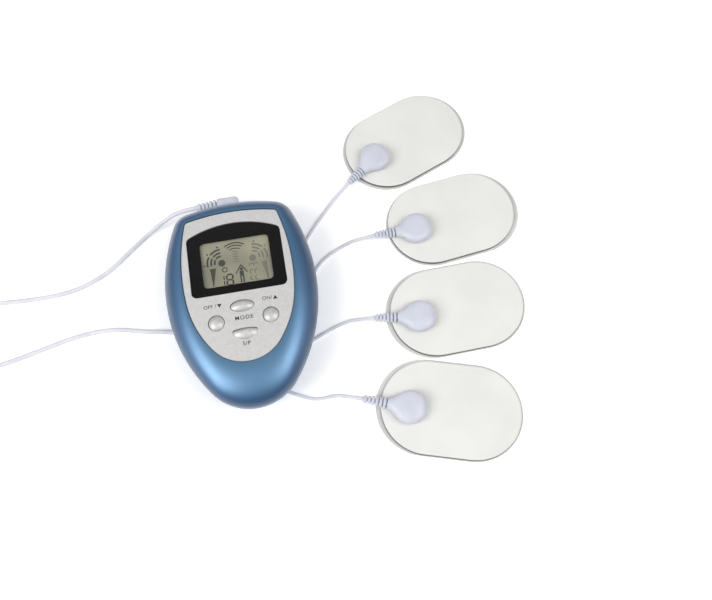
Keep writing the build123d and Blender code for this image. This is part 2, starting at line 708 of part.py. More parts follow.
# ---- main cord: out to a neat coil and back under the unit ----------------------------------
FLOOR_MAIN = MAIN_D / 2
coil_x, coil_y = COIL_CENTRE
cord_tube(
    "cord_run_out",
    [
        (PLUG_X[2], PLUG_Y, SOCKET_Z), (-30, 59.9, 11.0), (-41, 58.2, 5.2), (-51, 53.6, FLOOR_MAIN),
        (-62, 44.6, FLOOR_MAIN), (-75, 33.6, FLOOR_MAIN), (-94, 26.0, FLOOR_MAIN), (-117, 25.2, FLOOR_MAIN),
        (-142, 27.2, FLOOR_MAIN), (coil_x, coil_y + COIL_RUN, FLOOR_MAIN),
    ],
    MAIN_D,
)
SPLIT_START, SPLIT_END = Vector(-32.0, -10.2), Vector(-21.5, -19.0)
split_dir = (SPLIT_END - SPLIT_START).normalized()
split_side = Vector(-split_dir.Y, split_dir.X)
cord_tube(
    "cord_run_in",
    [
        (coil_x, coil_y - COIL_RUN, 3.75), (-150, -10.6, 3.0), (-134, -9.4, FLOOR_MAIN),
        (-113, -4.6, FLOOR_MAIN), (-91, 0.4, FLOOR_MAIN), (-72, 0.6, FLOOR_MAIN),
        (-57, -4.0, FLOOR_MAIN), (-42.4, -6.4, FLOOR_MAIN + 0.4), (SPLIT_START.X, SPLIT_START.Y, 2.2),
    ],
    MAIN_D,
)

with BuildPart() as cord_coil:
    with BuildSketch():
        with Locations(COIL_CENTRE):
            Circle(COIL_OUTER)
            Circle(COIL_INNER, mode=Mode.SUBTRACT)
    extrude(amount=COIL_H)
    fillet(cord_coil.edges().filter_by(GeomType.CIRCLE), 1.2)
save(cord_coil.part, "cord_coil")

SPLIT_W, SPLIT_H = 10.0, 4.4
with BuildPart() as splitter:
    middle = (SPLIT_START + SPLIT_END) / 2
    with BuildSketch(Plane(origin=(middle.X, middle.Y, 0), x_dir=(split_dir.X, split_dir.Y, 0))):
        RectangleRounded((SPLIT_END - SPLIT_START).length, SPLIT_W, 1.5)
    extrude(amount=SPLIT_H)
    fillet(splitter.faces().sort_by(Axis.Z)[-1].edges(), 1.0)
save(splitter.part, "splitter")

# ---- the four leads: from the splitter, round the clip's free end, out to the pads ----------
LEAD_STEP = 2.25
LEAD_LOW = LEAD_D / 2
LEAD_MIDDLES = [
    [(-6, -26.2), (9, -27.4), (21.5, -22.0), (26.0, -8.0), (27.0, 9.0), (31.5, 25.0), (40.2, 38.4)],
    [(-7, -29.4), (10, -30.6), (25.0, -25.6), (31.0, -12.0), (34.0, 4.0), (42.6, 20.6)],
    [(-8, -32.8), (8, -34.4), (22.0, -30.0), (35.0, -23.0)],
    [(-11, -35.6), (2, -42.6), (16.0, -50.2), (29.0, -57.6)],
]
for number, (pad, middles) in enumerate(zip(PADS, LEAD_MIDDLES), start=1):
    stud, tail = Vector(*pad["stud"]), Vector(*pad["tail"])
    away = (tail - stud).normalized()
    start = SPLIT_END + split_side * (1.5 - (number - 1)) * LEAD_STEP
    low, high = tail + away * 15, tail + away * 6.5
    route = [(start.X, start.Y, 1.6)]
    route += [(x, y, LEAD_LOW) for x, y in middles]
    route += [(low.X, low.Y, LEAD_LOW + 0.5), (high.X, high.Y, 3.6), (tail.X, tail.Y, TAIL_Z)]
    cord_tube(f"lead_{number}", route, LEAD_D)

# ---- snap connectors ------------------------------------------------------------------------
SOCKET_R = 2.3
for number, pad in enumerate(PADS, start=1):
    stud, tail = Vector(*pad["stud"]), Vector(*pad["tail"])
    away = (tail - stud).normalized()
    axis = Plane(origin=(stud.X, stud.Y, 0), x_dir=(away.X, away.Y, 0), z_dir=(0, 0, 1))
    with BuildPart() as connector:
        with BuildSketch(axis.offset(HEAD_LOW)):
            Circle(HEAD_R)
        extrude(amount=HEAD_TOP - HEAD_LOW)
        fillet(connector.faces().sort_by(Axis.Z)[-1].edges(), 4.4)
        with BuildSketch(Plane(origin=(stud.X, stud.Y, TAIL_Z), z_dir=(away.X, away.Y, 0))):
            Circle(2.1)
        with BuildSketch(Plane(origin=(tail.X, tail.Y, TAIL_Z), z_dir=(away.X, away.Y, 0))):
            Circle(1.5)
        loft()
        for ridge in range(4):
            place = stud + away * (HEAD_R + 1.6 + 2.7 * ridge)
            with BuildSketch(Plane(origin=(place.X, place.Y, TAIL_Z), z_dir=(away.X, away.Y, 0))):
                Circle(2.2 - 0.1 * ridge)
            extrude(amount=1.5)
        with BuildSketch(axis.offset(HEAD_LOW - 2)):
            Circle(4.6)
        extrude(amount=2.4, mode=Mode.SUBTRACT)
        with BuildSketch(axis.offset(HEAD_LOW - 2)):
            Circle(SOCKET_R)
        extrude(amount=6.0, mode=Mode.SUBTRACT)
    save(connector.part, f"connector_{number}")

with BuildPart() as snap_sockets:
    with BuildSketch(Plane.XY.offset(HEAD_LOW + 0.5)):
        with Locations(*[pad["stud"] for pad in PADS]):
            Circle(SOCKET_R)
            Circle(STUD_R + 0.05, mode=Mode.SUBTRACT)
    extrude(amount=2.6)
save(snap_sockets.part, "snap_sockets")


# ---- pads: release film, gel, cover and snap stud -------------------------------------------
def pad_layer(name, pad, length, width, low, thick, shift=(0.0, 0.0)):
    x, y = pad["at"]
    with BuildPart() as layer:
        with BuildSketch(Plane.XY.offset(low)):
            with Locations(Location((x + shift[0], y + shift[1], 0), (0, 0, pad["turn"]))):
                SlotOverall(length, width)
        extrude(amount=thick)
    save(layer.part, name)


for number, pad in enumerate(PADS, start=1):
    pad_layer(f"pad_{number}_liner", pad, LINER_L, LINER_W, 0, LINER_T, pad["shift"])
    pad_layer(f"pad_{number}_gel", pad, PAD_L - 2 * GEL_INSET, PAD_W - 2 * GEL_INSET, LINER_T, GEL_T)
    pad_layer(f"pad_{number}_cover", pad, PAD_L, PAD_W, LINER_T + GEL_T, COVER_T)
    with BuildPart() as snap_stud:
        with BuildSketch(Plane.XY.offset(PAD_TOP)):
            with Locations(pad["stud"]):
                Circle(4.0)
        extrude(amount=0.4)
        with BuildSketch(Plane.XY.offset(PAD_TOP)):
            with Locations(pad["stud"]):
                Circle(STUD_R)
        extrude(amount=3.6)
        fillet(snap_stud.faces().sort_by(Axis.Z)[-1].edges(), 0.6)
    save(snap_stud.part, f"snap_stud_{number}")
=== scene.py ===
"""Looks of the four-pad TENS unit: cords, pads, connectors, casing, display and materials."""
import json
import math

import bmesh
import bpy
from mathutils import Matrix, Vector, noise


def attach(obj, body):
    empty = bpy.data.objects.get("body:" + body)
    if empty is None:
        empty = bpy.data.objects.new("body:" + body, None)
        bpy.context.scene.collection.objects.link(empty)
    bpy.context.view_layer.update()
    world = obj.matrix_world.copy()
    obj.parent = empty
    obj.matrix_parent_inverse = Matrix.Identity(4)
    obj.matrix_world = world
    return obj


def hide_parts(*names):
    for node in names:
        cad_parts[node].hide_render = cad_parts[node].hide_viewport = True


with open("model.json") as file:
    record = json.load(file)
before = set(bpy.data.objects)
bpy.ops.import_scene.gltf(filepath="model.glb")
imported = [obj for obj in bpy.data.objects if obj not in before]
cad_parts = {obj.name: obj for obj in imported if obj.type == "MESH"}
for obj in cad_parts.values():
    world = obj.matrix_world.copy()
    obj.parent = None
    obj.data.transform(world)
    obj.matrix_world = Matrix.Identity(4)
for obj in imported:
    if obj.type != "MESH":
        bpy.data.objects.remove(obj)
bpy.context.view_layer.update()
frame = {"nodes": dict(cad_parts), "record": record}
MM = 0.001
ROOT = "control_unit"


# ---- small helpers --------------------------------------------------------------------------
def mm(*values):
    """Millimetres to metres."""
    return tuple(v * MM for v in values)


def smoothstep(value):
    """0 to 1 with a soft start and end."""
    value = min(1.0, max(0.0, value))
    return value * value * (3 - 2 * value)


def make_mesh(name, verts, faces, smooth=True):
    """A new mesh object from points in metres."""
    data = bpy.data.meshes.new(name)
    data.from_pydata([tuple(v) for v in verts], [], faces)
    data.update()
    cleaner = bmesh.new()
    cleaner.from_mesh(data)
    bmesh.ops.recalc_face_normals(cleaner, faces=cleaner.faces)
    cleaner.to_mesh(data)
    cleaner.free()
    for face in data.polygons:
        face.use_smooth = smooth
    piece = bpy.data.objects.new(name, data)
    bpy.context.scene.collection.objects.link(piece)
    return piece


def loft(name, rings, closed=False):
    """Skins rings of equal length and caps both ends, or joins the last ring to the first."""
    count = len(rings[0])
    verts = [point for ring in rings for point in ring]
    faces = []
    last = len(rings) - 1
    pairs = [(low, low + 1) for low in range(last)]
    if closed:
        pairs.append((last, 0))
    for low, high in pairs:
        for i in range(count):
            j = (i + 1) % count
            faces.append((low * count + i, low * count + j, high * count + j, high * count + i))
    if not closed:
        faces.append(tuple(reversed(range(count))))
        faces.append(tuple(last * count + i for i in range(count)))
    return make_mesh(name, verts, faces)


def join(name, parts):
    """Several mesh pieces as one, under one name."""
    bpy.ops.object.select_all(action="DESELECT")
    for part in parts:
        part.select_set(True)
    bpy.context.view_layer.objects.active = parts[0]
    if len(parts) > 1:
        bpy.ops.object.join()
    parts[0].name = name
    parts[0].data.name = name
    return parts[0]


def finish_piece(piece, body, material, replaced=()):
    """Gives a piece its finish and the body that it rides on."""
    piece.data.materials.clear()
    piece.data.materials.append(material)
    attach(piece, body)
    if replaced:
        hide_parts(*replaced)
    return piece


def smooth_by_angle(piece, degrees=35):
    """Rounded faces shade smoothly and sharp edges stay crisp."""
    sharp = math.radians(degrees)
    work = bmesh.new()
    work.from_mesh(piece.data)
    for face in work.faces:
        face.smooth = True
    for edge in work.edges:
        edge.smooth = len(edge.link_faces) == 2 and edge.calc_face_angle(0) < sharp
    work.to_mesh(piece.data)
    work.free()


# ---- materials ------------------------------------------------------------------------------
def new_material(name, roughness, metallic=0.0, coat=0.0, specular=0.5):
    """A material with its node tree and its one shader."""
    material = bpy.data.materials.new(name)
    material.use_nodes = True
    shader = material.node_tree.nodes["Principled BSDF"]
    shader.inputs["Roughness"].default_value = roughness
    shader.inputs["Metallic"].default_value = metallic
    shader.inputs["Coat Weight"].default_value = coat
    shader.inputs["Specular IOR Level"].default_value = specular
    return material, material.node_tree, shader


def noise_node(tree, scale, detail, rough=0.5):
    """A noise texture that sticks to the piece."""
    place = tree.nodes.new("ShaderNodeTexCoord")
    texture = tree.nodes.new("ShaderNodeTexNoise")
    texture.inputs["Scale"].default_value = scale
    texture.inputs["Detail"].default_value = detail
    texture.inputs["Roughness"].default_value = rough
    tree.links.new(place.outputs["Object"], texture.inputs["Vector"])
    return texture


def set_stops(ramp, stops):
    """Gives a colour ramp its (position, colour) stops, in rising order."""
    points = ramp.color_ramp.elements
    while len(points) < len(stops):
        points.new(0.5)
    for point, (position, colour) in zip(points, stops):
        point.position = position
        point.color = (*colour, 1)


def mottle(tree, shader, low, high, scale, detail=3.0):
    """The base colour drifts between two close tones."""
    texture = noise_node(tree, scale, detail)
    ramp = tree.nodes.new("ShaderNodeValToRGB")
    set_stops(ramp, [(0.35, low), (0.65, high)])
    tree.links.new(texture.outputs["Fac"], ramp.inputs["Fac"])
    tree.links.new(ramp.outputs["Color"], shader.inputs["Base Color"])
    return ramp


def grain(tree, shader, scale, strength, distance, detail=4.0):
    """Fine surface relief."""
    texture = noise_node(tree, scale, detail)
    bump = tree.nodes.new("ShaderNodeBump")
    bump.inputs["Strength"].default_value = strength
    bump.inputs["Distance"].default_value = distance
    tree.links.new(texture.outputs["Fac"], bump.inputs["Height"])
    tree.links.new(bump.outputs["Normal"], shader.inputs["Normal"])


def rough_variation(tree, shader, low, high, scale):
    """Roughness that wanders between low and high."""
    texture = noise_node(tree, scale, 4.0)
    span = tree.nodes.new("ShaderNodeMapRange")
    span.inputs["To Min"].default_value = low
    span.inputs["To Max"].default_value = high
    tree.links.new(texture.outputs["Fac"], span.inputs["Value"])
    tree.links.new(span.outputs["Result"], shader.inputs["Roughness"])


def pearl_blue():
    """Metallic lacquer with painted shade: lighter where the surface faces up, deep blue down the flanks and
    rim in place of the dark surroundings they reflect, and darker towards the plug's end where less light
    falls.
    """
    material, tree, shader = new_material("pearl_blue_lacquer_painted_shade", 0.45, 0.66, 1.0)
    shader.inputs["Coat Roughness"].default_value = 0.38
    shader.inputs["Coat IOR"].default_value = 1.65
    # Painted shade: the base colour follows how far the surface faces up, darkest on the steep flanks and
    # rim, standing in for the dark surroundings they reflect.
    geometry = tree.nodes.new("ShaderNodeNewGeometry")
    split = tree.nodes.new("ShaderNodeSeparateXYZ")
    tree.links.new(geometry.outputs["Normal"], split.inputs["Vector"])
    cloud = noise_node(tree, 14.0, 1.0)
    shift = tree.nodes.new("ShaderNodeMath")
    shift.operation = "MULTIPLY_ADD"
    shift.inputs[1].default_value = 0.08
    tree.links.new(cloud.outputs["Fac"], shift.inputs[0])
    tree.links.new(split.outputs["Z"], shift.inputs[2])
    # Painted shade: the colour darkens towards the top end by the plug, where less light falls.
    along = tree.nodes.new("ShaderNodeSeparateXYZ")
    place = tree.nodes.new("ShaderNodeTexCoord")
    tree.links.new(place.outputs["Object"], along.inputs["Vector"])
    painted_top_shade = tree.nodes.new("ShaderNodeMapRange")
    painted_top_shade.interpolation_type = "SMOOTHSTEP"
    painted_top_shade.inputs["From Min"].default_value = -40 * MM
    painted_top_shade.inputs["From Max"].default_value = 18 * MM
    painted_top_shade.inputs["To Max"].default_value = -0.11
    tree.links.new(along.outputs["Y"], painted_top_shade.inputs["Value"])
    tone = tree.nodes.new("ShaderNodeMath")
    tree.links.new(shift.outputs["Value"], tone.inputs[0])
    tree.links.new(painted_top_shade.outputs["Result"], tone.inputs[1])
    ramp = tree.nodes.new("ShaderNodeValToRGB")
    ramp.color_ramp.interpolation = "B_SPLINE"
    stops = [
        (0.05, (0.005, 0.02, 0.06)), (0.5, (0.011, 0.05, 0.13)),
        (0.87, (0.026, 0.12, 0.28)), (1.0, (0.088, 0.235, 0.40)),
    ]
    set_stops(ramp, stops)
    tree.links.new(tone.outputs["Value"], ramp.inputs["Fac"])
    tree.links.new(ramp.outputs["Color"], shader.inputs["Base Color"])
    grain(tree, shader, 9000.0, 0.06, 0.00004, 2.0)
    rough_variation(tree, shader, 0.4, 0.48, 60.0)
    return material


def blue_plastic():
    """Unlacquered blue plastic of the rear shell, door and clip."""
    material, tree, shader = new_material("blue_moulding", 0.38, 0.25, 0.15)
    mottle(tree, shader, (0.035, 0.13, 0.29), (0.05, 0.17, 0.35), 25.0)
    grain(tree, shader, 3500.0, 0.15, 0.00005)
    return material


def silver_plate():
    """Silver-white metallic paint with fine flake and a faint cloudy tone."""
    material, tree, shader = new_material("silver_paint", 0.42, 0.35, 0.1)
    mottle(tree, shader, (0.65, 0.64, 0.635), (0.71, 0.705, 0.70), 700.0, 6.0)
    grain(tree, shader, 4200.0, 0.12, 0.00004)
    rough_variation(tree, shader, 0.36, 0.5, 300.0)
    return material


def silver_button():
    """Satin silver lacquer of the four buttons."""
    material, tree, shader = new_material("button_lacquer", 0.48, 0.4, 0.1)
    mottle(tree, shader, (0.55, 0.545, 0.54), (0.66, 0.655, 0.65), 500.0)
    grain(tree, shader, 3000.0, 0.06, 0.00004)
    return material


def plain(name, colour, spread, roughness, metallic=0.0, coat=0.0, scale=60.0, specular=0.5):
    """A material whose tone varies by spread around its colour, with fine relief."""
    material, tree, shader = new_material(name, roughness, metallic, coat, specular)
    low = tuple(max(0.0, c * (1 - spread)) for c in colour)
    high = tuple(min(1.0, c * (1 + spread)) for c in colour)
    mottle(tree, shader, low, high, scale)
    grain(tree, shader, 900.0, 0.08, 0.00006)
    return material


def clear_window():
    """Thin clear acrylic that mostly shows what lies under it."""
    material, tree, shader = new_material("clear_acrylic", 0.04)
    shader.inputs["Base Color"].default_value = (0.02, 0.02, 0.02, 1)
    shader.inputs["IOR"].default_value = 2.2
    shader.inputs["Alpha"].default_value = 0.16
    rough_variation(tree, shader, 0.02, 0.06, 40.0)
    return material


def lcd_panel():
    """Grey-green reflective display with a faint warm patch."""
    material, tree, shader = new_material("lcd_panel", 0.35)
    ramp = mottle(tree, shader, (0.42, 0.415, 0.31), (0.66, 0.63, 0.46), 45.0, 1.0)
    ramp.color_ramp.elements[0].position = 0.3
    grain(tree, shader, 2500.0, 0.04, 0.00003)
    return material


def pad_fabric():
    """Closely pressed non-woven cover: soft fibre relief and a little sheen."""
    material, tree, shader = new_material("pad_cover_fleece", 0.85)
    mottle(tree, shader, (0.745, 0.742, 0.715), (0.79, 0.787, 0.76), 38.0, 5.0)
    shader.inputs["Sheen Weight"].default_value = 0.15
    shader.inputs["Sheen Roughness"].default_value = 0.5
    fine = noise_node(tree, 1500.0, 6.0, 0.7)
    cells = tree.nodes.new("ShaderNodeTexVoronoi")
    cells.inputs["Scale"].default_value = 900.0
    place = tree.nodes.new("ShaderNodeTexCoord")
    tree.links.new(place.outputs["Object"], cells.inputs["Vector"])
    blend = tree.nodes.new("ShaderNodeMath")
    blend.operation = "MULTIPLY_ADD"
    blend.inputs[1].default_value = 0.5
    tree.links.new(cells.outputs["Distance"], blend.inputs[0])
    tree.links.new(fine.outputs["Fac"], blend.inputs[2])
    bump = tree.nodes.new("ShaderNodeBump")
    bump.inputs["Strength"].default_value = 0.35
    bump.inputs["Distance"].default_value = 0.00012
    tree.links.new(blend.outputs["Value"], bump.inputs["Height"])
    tree.links.new(bump.outputs["Normal"], shader.inputs["Normal"])
    return material


def release_film():
    """Slightly see-through plastic film, softly rippled."""
    material, tree, shader = new_material("release_film", 0.22, 0.0, 0.2)
    mottle(tree, shader, (0.66, 0.655, 0.64), (0.74, 0.735, 0.72), 60.0)
    shader.inputs["Alpha"].default_value = 0.9
    grain(tree, shader, 260.0, 0.2, 0.0001)
    return material


def cord_sheath():
    """Satin PVC with a slight waxy glow."""
    material, tree, shader = new_material("cord_sheath", 0.42)
    mottle(tree, shader, (0.66, 0.66, 0.72), (0.74, 0.74, 0.79), 120.0)
    shader.inputs["Subsurface Weight"].default_value = 0.08
    shader.inputs["Subsurface Radius"].default_value = (0.001, 0.001, 0.0012)
    grain(tree, shader, 1800.0, 0.08, 0.00004)
    return material


def moulding():
    """Pale lavender-white soft PVC of the plug and connectors."""
    material, tree, shader = new_material("soft_moulding", 0.4)
    mottle(tree, shader, (0.585, 0.605, 0.69), (0.645, 0.665, 0.75), 90.0)
    shader.inputs["Subsurface Weight"].default_value = 0.12
    shader.inputs["Subsurface Radius"].default_value = (0.0015, 0.0015, 0.002)
    grain(tree, shader, 1400.0, 0.07, 0.00005)
    return material


MATERIALS = {
    "pearl_blue": pearl_blue(),
    "blue_plastic": blue_plastic(),
    "silver_plate": silver_plate(),
    "silver_button": silver_button(),
    "black_print": plain("black_print", (0.004, 0.004, 0.004), 0.3, 0.5, specular=0.08),
    "clear_window": clear_window(),
    "lcd": lcd_panel(),
    "reflector": plain("reflector_film", (0.7, 0.72, 0.7), 0.05, 0.2, 0.9),
    "zebra": plain("zebra_rubber", (0.62, 0.33, 0.33), 0.12, 0.6),
    "white_plastic": plain("white_moulding", (0.78, 0.78, 0.75), 0.03, 0.5),
    "silicone": plain("silicone", (0.55, 0.57, 0.58), 0.05, 0.55),
    "circuit_board": plain("solder_mask", (0.02, 0.16, 0.06), 0.3, 0.3, coat=0.3, scale=350.0),
    "black_epoxy": plain("black_epoxy", (0.012, 0.012, 0.012), 0.3, 0.4),
    "ferrite": plain("ferrite", (0.05, 0.05, 0.055), 0.25, 0.6),
    "copper_winding": plain("copper_winding", (0.55, 0.24, 0.09), 0.2, 0.3, 0.8, scale=900.0),
    "capacitor_sleeve": plain("capacitor_sleeve", (0.02, 0.03, 0.14), 0.15, 0.3),
    "cell_case": plain("cell_case", (0.45, 0.46, 0.48), 0.08, 0.28, 0.9),
    "contact_metal": plain("contact_metal", (0.62, 0.61, 0.58), 0.06, 0.25, 1.0),
    "screw_steel": plain("screw_steel", (0.42, 0.42, 0.43), 0.1, 0.3, 1.0),
    "black_plastic": plain("black_nylon", (0.02, 0.02, 0.022), 0.25, 0.45),
    "lead_plastic": moulding(),
    "lead_wire": cord_sheath(),
    "pad_cover": pad_fabric(),
    # Dark grey for the carbon film, and also painted shadow: the layer's dark edge stands in for the shade
    # in the gap under the cover's lower edge.
    "pad_gel": plain("gel_on_carbon_painted_gap_shadow", (0.13, 0.135, 0.135), 0.2, 0.35, coat=0.4),
    "pad_liner": release_film(),
    "stud_metal": plain("stud_metal", (0.55, 0.55, 0.56), 0.06, 0.22, 1.0),
}
LCD_INK = plain("lcd_ink", (0.10, 0.105, 0.085), 0.1, 0.45)
LCD_FAINT = plain("lcd_faint_ink", (0.30, 0.31, 0.25), 0.06, 0.45)
LABEL_INK = plain("label_ink", (0.03, 0.03, 0.035), 0.1, 0.5)
TIE_WIRE = plain("tie_sleeve", (0.03, 0.03, 0.03), 0.2, 0.5)

slot_of = {s["node"]: s["material_slot"] for s in frame["record"]["subparts"]}
for node_name, node in frame["nodes"].items():
    node.data.materials.clear()
    node.data.materials.append(MATERIALS[slot_of[node_name]])
    smooth_by_angle(node)


# ---- camera: above the set, a little below its middle, turned to the set's lie ---------------
def make_camera():
    """One camera, about 70 degrees above the surface."""
    place = Vector((0.0369, -0.1351, 0.3723))
    look_at = Vector((0.0598, -0.0053, 0.0))
    right = Vector((0.985, -0.174, 0.0)).normalized()
    forward = (look_at - place).normalized()
    right = (right - forward * right.dot(forward)).normalized()
    up = right.cross(forward)
    camera = bpy.data.objects.new("camera", bpy.data.cameras.new("camera"))
    camera.data.sensor_width = 36.0
    camera.data.lens = 35.95
    camera.matrix_world = Matrix((
        (right.x, up.x, -forward.x, place.x),
        (right.y, up.y, -forward.y, place.y),
        (right.z, up.z, -forward.z, place.z),
        (0, 0, 0, 1),
    ))
    bpy.context.scene.collection.objects.link(camera)
    bpy.context.scene.camera = camera


make_camera()


# ---- cords ----------------------------------------------------------------------------------
MAIN_D, LEAD_D = 2.5 * MM, 1.9 * MM
FLOOR_MAIN, FLOOR_LEAD = MAIN_D / 2, LEAD_D / 2
COIL_CENTRE = Vector(mm(-163, 8, 0))
COIL_OUT, COIL_IN = 18.25 * MM, 8.25 * MM
COIL_TURNS, COIL_STEPS = 4, 16
TIE_STEPS = 40


def cord_curve(name, points, diameter):
    """A round cord on one smooth open curve."""
    data = bpy.data.curves.new(name, "CURVE")
    data.dimensions = "3D"
    data.bevel_depth = diameter / 2
    data.bevel_resolution = 5
    data.use_fill_caps = True
    data.resolution_u = 8
    line = data.splines.new("NURBS")
    line.points.add(len(points) - 1)
    for point, place in zip(line.points, points):
        point.co = (*place, 1)
    line.order_u = 3
    line.use_endpoint_u = True
    piece = bpy.data.objects.new(name, data)
    bpy.context.scene.collection.objects.link(piece)
    return piece


def coil_points():
    """Two layers of turns: inwards on the surface, then outwards on top of them."""
    whole = COIL_TURNS * COIL_STEPS
    last = whole + whole + COIL_STEPS // 2
    half_turn = 0.5 * COIL_STEPS
    points = []
    for step in range(1, last):
        if step <= whole:
            radius = COIL_OUT + (COIL_IN - COIL_OUT) * step / whole
            height = FLOOR_MAIN
        else:
            rise = smoothstep((step - whole) / (0.45 * COIL_STEPS))
            out = max(0.0, (step - whole - half_turn) / (last - whole - half_turn))
            radius = COIL_IN + (COIL_OUT - COIL_IN) * out
            height = FLOOR_MAIN + MAIN_D * rise
        angle = math.radians(90 + 360 * step / COIL_STEPS)
        points.append(COIL_CENTRE + Vector((radius * math.cos(angle), radius * math.sin(angle), height)))
    return points


RUN_OUT = [
    mm(-19.8, 59.9, 12.5), mm(-30, 60.4, 11.2), mm(-41, 58.2, 5.2), mm(-51, 53.6, 1.25),
    mm(-62, 44.6, 1.25), mm(-75, 33.6, 1.25), mm(-94, 26.0, 1.25), mm(-117, 25.2, 1.25),
    mm(-142, 27.2, 1.25), mm(-163, 26.25, 1.25),
]
RUN_IN = [
    mm(-163, -10.25, 3.75), mm(-150, -10.6, 3.0), mm(-134, -9.4, 1.25), mm(-113, -4.6, 1.25),
    mm(-91, 0.4, 1.25), mm(-72, 0.6, 1.25), mm(-57, -4.0, 1.25), mm(-42.4, -6.4, 1.65),
    mm(-32.0, -10.2, 2.2),
]
LEADS = [
    [(-6, -26.2), (9, -27.4), (21.5, -22.0), (26.0, -8.0), (27.0, 9.0), (31.5, 25.0), (40.2, 38.4)],
    [(-7, -29.4), (10, -30.6), (25.0, -25.6), (31.0, -12.0), (34.0, 4.0), (42.6, 20.6)],
    [(-8, -32.8), (8, -34.4), (22.0, -30.0), (35.0, -23.0)],
    [(-11, -35.6), (2, -42.6), (16.0, -50.2), (29.0, -57.6)],
]
PADS = [
    {"at": (105.9, 89.6), "turn": 21.9, "stud": (86.1, 78.9), "tail": (67.9, 64.9), "shift": (0.0, -0.3)},
    {"at": (122.4, 34.5), "turn": 6.8, "stud": (100.7, 29.5), "tail": (76.8, 29.4), "shift": (0.9, -0.3)},
    {"at": (113.7, -19.9), "turn": 1.4, "stud": (91.9, -22.3), "tail": (67.7, -18.9), "shift": (-0.8, 0.1)},
    {"at": (98.3, -74.6), "turn": -16.8, "stud": (77.0, -70.3), "tail": (53.5, -61.5), "shift": (-0.9, 0.4)},
]
TAIL_Z = 4.9  # height of a cord's axis where it enters its connector
SPLIT_START, SPLIT_END = Vector((-32.0, -10.2)), Vector((-21.5, -19.0))
LEAD_STEP, LEAD_EXIT_Z = 2.25, 1.6
CLIMB = [(15, 1.45), (6.5, 3.6)]  # how a lead rises to its connector: distance before it, height

main_cord = cord_curve("main_cord", RUN_OUT + coil_points() + RUN_IN, MAIN_D)
finish_piece(
    main_cord, ROOT, MATERIALS["lead_wire"], ["cord_run_out", "cord_coil", "cord_run_in"],
)

split_dir = (SPLIT_END - SPLIT_START).normalized()
split_side = Vector((-split_dir.y, split_dir.x))


def lead_wire(number, pad, middles):
    """One lead from the splitter to its connector, and its route."""
    stud, tail = Vector(pad["stud"]), Vector(pad["tail"])
    away = (tail - stud).normalized()
    start = SPLIT_END + split_side * (1.5 - (number - 1)) * LEAD_STEP
    route = [mm(start.x, start.y, LEAD_EXIT_Z)]
    route += [(x * MM, y * MM, FLOOR_LEAD) for x, y in middles]
    route += [mm(*(tail + away * before), height) for before, height in CLIMB]
    route.append(mm(*tail, TAIL_Z))
    lead = cord_curve(f"lead_wire_{number}", route, LEAD_D)
    finish_piece(lead, ROOT, MATERIALS["lead_wire"], [f"lead_{number}"])
    return lead, route


lead_cords = [lead_wire(number, pad, way) for number, (pad, way) in enumerate(zip(PADS, LEADS), start=1)]


def tie_band():
    """A short wire tie round the coil's turns, opposite to where the cord leaves."""
    low, high, inner, outer = mm(0.25, 5.4, 6.7, 19.9)
    half, thick = 1.4, 0.25
    middle_r, reach_r = (inner + outer) / 2, (outer - inner) / 2
    middle_z, reach_z = (low + high) / 2, (high - low) / 2
    rings = []
    for step in range(TIE_STEPS):
        angle = 2 * math.pi * step / TIE_STEPS
        across = reach_r * math.copysign(abs(math.cos(angle)) ** 0.5, math.cos(angle))
        up = reach_z * math.copysign(abs(math.sin(angle)) ** 0.5, math.sin(angle))
        ring = []
        for side, lift in ((-half, 0), (-half, thick), (half, thick), (half, 0)):
            grow = 1 + lift / 6
            height = max(0.05 * MM, middle_z + up * grow)
            ring.append(COIL_CENTRE + Vector((-(middle_r + across * grow), side * MM, height)))
        rings.append(ring)
    band = loft("cord_tie", rings, closed=True)
    twist = []
    corners = [(1.1, 0.35), (-1.1, 0.35), (-1.1, -0.35), (1.1, -0.35)]
    for step in range(7):
        centre = COIL_CENTRE + Vector(mm(-20.3 - 0.5 * step, 0.0, 2.8))
        spin = Matrix.Rotation(0.9 * step, 3, "X")
        twist.append([centre + spin @ Vector(mm(0, y, z)) for y, z in corners])
    return join("cord_tie", [band, loft("tie_twist", twist)])


cord_tie = tie_band()
finish_piece(cord_tie, ROOT, TIE_WIRE)


# ---- connectors, plug and splitter ----------------------------------------------------------
SECTION_STEPS = 44


def section(centre, along, half, low, high, power):
    """One cross-section of a moulding: a superellipse across the direction it runs in."""
    side = Vector((-along.y, along.x, 0))
    middle, reach = (low + high) / 2, (high - low) / 2
    ring = []
    for step in range(SECTION_STEPS):
        angle = 2 * math.pi * step / SECTION_STEPS
        across, up = math.cos(angle), math.sin(angle)
        across = math.copysign(abs(across) ** (2 / power), across)
        up = math.copysign(abs(up) ** (2 / power), up)
        ring.append(centre + side * (half * across) + Vector((0, 0, middle + reach * up)))
    return ring


def round_section(centre, along, axis_z, radius, power=2.0):
    """A section as tall as it is wide, about an axis at a height. Sizes in millimetres."""
    low, high = (axis_z - radius) * MM, (axis_z + radius) * MM
    return section(centre * MM, along, radius * MM, low, high, power)


def ribs(start, end, count, thick, thin, gap):
    """(distance, radius) down a strain relief of separate ribs that taper towards the cord."""
    pitch = (end - start) / count
    profile = []
    for number in range(count):
        near = start + pitch * number
        swell = thick[0] + (thick[1] - thick[0]) * number / (count - 1)
        core = thin[0] + (thin[1] - thin[0]) * number / (count - 1)
        profile += [
            (near, core), (near + gap, core), (near + gap, swell - 0.18), (near + gap + 0.15, swell),
            (near + pitch - 0.2, swell - 0.04), (near + pitch, swell - 0.25),
        ]
    return profile


HEAD_R, HEAD_LOW, HEAD_TOP = 8.75, 2.7, 8.8
NECK_FROM, NECK_END, NECK_HALF = 6.2, 12.0, 2.85


